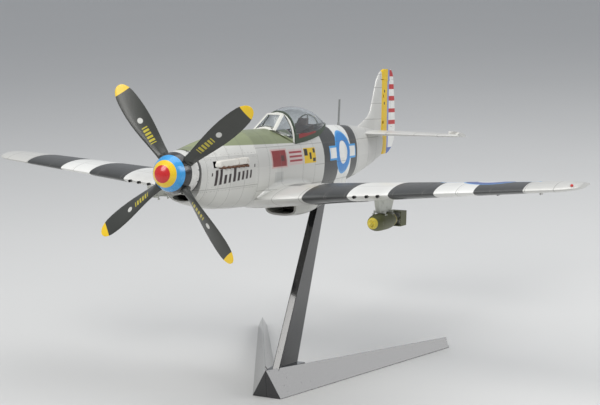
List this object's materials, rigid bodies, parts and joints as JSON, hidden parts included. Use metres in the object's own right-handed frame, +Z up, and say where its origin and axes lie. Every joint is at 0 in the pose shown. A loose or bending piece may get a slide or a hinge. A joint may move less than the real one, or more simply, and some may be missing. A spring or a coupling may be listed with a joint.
{
  "type": "propeller plane model",
  "caption": "Display model of a low-wing single-seat propeller fighter on a forked black table stand, with turning propeller, sliding canopy and moving control surfaces.",
  "frame": {"origin": "on the table, on the centre line, under the foot of the stand's upright", "axes": "+X towards the port wing tip along the span, -Y towards the nose, +Z up"},
  "size_m": [0.3524, 0.3074, 0.1871],
  "materials": {
    "airframe_silver": "silver paint over moulded plastic, painted bands and roundels",
    "stand_black": "polished black",
    "bright_steel": "bright",
    "olive_top": "matt olive paint",
    "shroud_white": "satin",
    "burnt_steel": "heat-stained",
    "engine_grey": "satin",
    "bush_brass": "turned",
    "dark_grille": "matt",
    "cockpit_green": "matt",
    "cockpit_black": "matt",
    "clear_glass": "polished clear plastic",
    "frame_white": "satin paint",
    "frame_green": "satin paint",
    "mast_grey": "satin",
    "nav_lamp": "clear tinted",
    "pylon_grey": "satin",
    "bomb_olive": "matt paint with a yellow nose",
    "spinner_paint": "gloss rings of red, yellow, blue and black",
    "dark_metal": "satin",
    "blade_black": "satin black with yellow tips"
  },
  "bodies": {
    "stand": {"stand_arm_left": "stand_black", "stand_arm_right": "stand_black", "stand_socket": "stand_black", "stand_upright": "stand_black", "stand_screws": "bright_steel"},
    "airframe": {"fuselage_left": "airframe_silver", "fuselage_right": "airframe_silver", "nose_ring": "airframe_silver", "cowl_top": "olive_top", "cowl_left": "airframe_silver", "cowl_right": "airframe_silver", "cowl_bottom": "airframe_silver", "exhaust_shrouds": "shroud_white", "exhaust_stubs": "burnt_steel", "engine_block": "engine_grey", "firewall": "engine_grey", "shaft_bush": "bush_brass", "fin": "airframe_silver", "tailplane": "airframe_silver", "scoop": "airframe_silver", "radiator_core": "dark_grille", "scoop_exit_door": "airframe_silver", "cockpit_tub": "cockpit_green", "seat": "cockpit_green", "instrument_panel": "cockpit_black", "headrest_armour": "cockpit_green", "radio_set": "cockpit_black", "windscreen_glass": "clear_glass", "windscreen_frame": "frame_white", "mast": "mast_grey", "wing_upper_left": "airframe_silver", "wing_upper_right": "airframe_silver", "wing_lower": "airframe_silver", "gun_barrels": "burnt_steel", "gear_doors": "airframe_silver", "nav_lights": "nav_lamp", "pylons": "pylon_grey", "bomb": "bomb_olive", "hinge_pins": "bright_steel"},
    "canopy": {"canopy_glass": "clear_glass", "canopy_frame": "frame_green"},
    "rudder_body": {"rudder": "airframe_silver"},
    "elevator_left_body": {"elevator_left": "airframe_silver"},
    "elevator_right_body": {"elevator_right": "airframe_silver"},
    "aileron_left_body": {"aileron_left": "airframe_silver"},
    "aileron_right_body": {"aileron_right": "airframe_silver"},
    "flap_left_body": {"flap_left": "airframe_silver"},
    "flap_right_body": {"flap_right": "airframe_silver"},
    "propeller": {"spinner": "spinner_paint", "spinner_backplate": "dark_metal", "propeller_hub": "dark_metal", "blade_1": "blade_black", "blade_2": "blade_black", "blade_3": "blade_black", "blade_4": "blade_black"}
  },
  "joints": [
    {"name": "model_lift", "type": "slide", "parent": "stand", "child": "airframe", "axis": [0, 0.525, 0.8511], "range_m": [0, 0.02]},
    {"name": "propeller_spin", "type": "hinge", "parent": "airframe", "child": "propeller", "pos_m": [0, -0.11147, 0.14532], "axis": [0, 0.9925, -0.1219], "continuous": true},
    {"name": "canopy_slide", "type": "slide", "parent": "airframe", "child": "canopy", "axis": [0, 0.9925, -0.1219], "range_m": [0, 0.0175]},
    {"name": "rudder_turn", "type": "hinge", "parent": "airframe", "child": "rudder_body", "pos_m": [0, 0.15867, 0.13614], "axis": [0, 0.1219, 0.9925], "range_deg": [-30, 30]},
    {"name": "elevator_left_tilt", "type": "hinge", "parent": "airframe", "child": "elevator_left_body", "pos_m": [0.02778, 0.15063, 0.12609], "axis": [1, 0, 0], "range_deg": [-11, 39]},
    {"name": "elevator_right_tilt", "type": "hinge", "parent": "airframe", "child": "elevator_right_body", "pos_m": [-0.02778, 0.15063, 0.12609], "axis": [1, 0, 0], "range_deg": [-11, 39]},
    {"name": "aileron_left_tilt", "type": "hinge", "parent": "airframe", "child": "aileron_left_body", "pos_m": [0.127, 0.00873, 0.12332], "axis": [0.9876, -0.1187, 0.1028], "range_deg": [-15, 15]},
    {"name": "aileron_right_tilt", "type": "hinge", "parent": "airframe", "child": "aileron_right_body", "pos_m": [-0.127, 0.00873, 0.12332], "axis": [0.9876, 0.1187, -0.1028], "range_deg": [-15, 15]},
    {"name": "flap_left_drop", "type": "hinge", "parent": "airframe", "child": "flap_left_body", "pos_m": [0.05477, 0.01739, 0.11561], "axis": [-0.9871, 0.118, -0.1081], "range_deg": [0, 47]},
    {"name": "flap_right_drop", "type": "hinge", "parent": "airframe", "child": "flap_right_body", "pos_m": [-0.05477, 0.01739, 0.11561], "axis": [-0.9871, -0.118, 0.1081], "range_deg": [0, 47]}
  ],
  "couplings": [
    {"joint": "elevator_right_tilt", "follows": "elevator_left_tilt", "ratio": 1},
    {"joint": "aileron_right_tilt", "follows": "aileron_left_tilt", "ratio": -1},
    {"joint": "flap_right_drop", "follows": "flap_left_drop", "ratio": 1}
  ]
}
